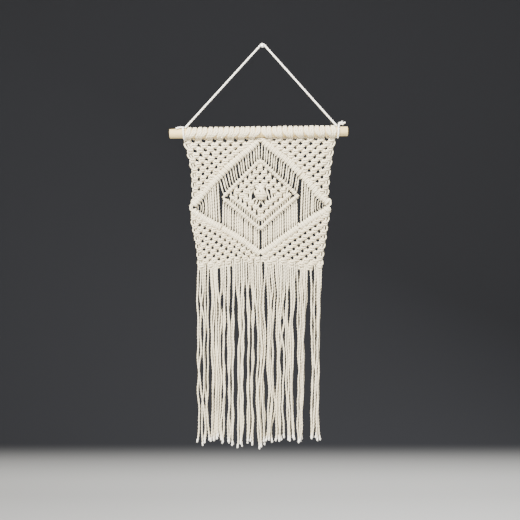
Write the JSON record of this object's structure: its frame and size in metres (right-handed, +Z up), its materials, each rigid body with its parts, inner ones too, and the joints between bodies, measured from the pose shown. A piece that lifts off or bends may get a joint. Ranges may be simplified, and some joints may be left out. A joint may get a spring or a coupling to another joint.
{
  "type": "macrame wall hanging on a wooden dowel with a hanging cord and a wall pin",
  "caption": "Knotted cotton wall hanging with diamond bands, open cord groups and a long fringe, on a wooden dowel hung by a cord from a wall pin.",
  "frame": {"origin": "centre of the wall pin's back face, on the plane of the wall", "axes": "+Z up, +X to the right as seen from the front, -Y out of the wall towards the viewer"},
  "size_m": [0.3051, 0.0249, 0.6987],
  "materials": {
    "dowel": "plain sanded pale wood",
    "pin": "dull metal",
    "hanging_cord": "off-white cotton cord",
    "panel_cord": "natural cream cotton cord"
  },
  "bodies": {
    "root": {"dowel": "dowel", "wall_pin": "pin", "hanging_cord": "hanging_cord", "heading": "panel_cord", "net_upper_left": "panel_cord", "net_upper_right": "panel_cord", "net_lower_left": "panel_cord", "net_lower_right": "panel_cord", "diamond_net": "panel_cord", "hitches_upper_left": "panel_cord", "hitches_upper_right": "panel_cord", "hitches_lower_left": "panel_cord", "hitches_lower_right": "panel_cord", "diamond_hitches_top_left": "panel_cord", "diamond_hitches_left_bottom": "panel_cord", "diamond_hitches_bottom_right": "panel_cord", "diamond_hitches_right_top": "panel_cord", "centre_knot": "panel_cord", "free_cords_upper_left": "panel_cord", "free_cords_upper_right": "panel_cord", "free_cords_side_left": "panel_cord", "free_cords_side_right": "panel_cord", "free_cords_lower_left": "panel_cord", "free_cords_lower_right": "panel_cord", "fringe": "panel_cord"}
  },
  "joints": []
}
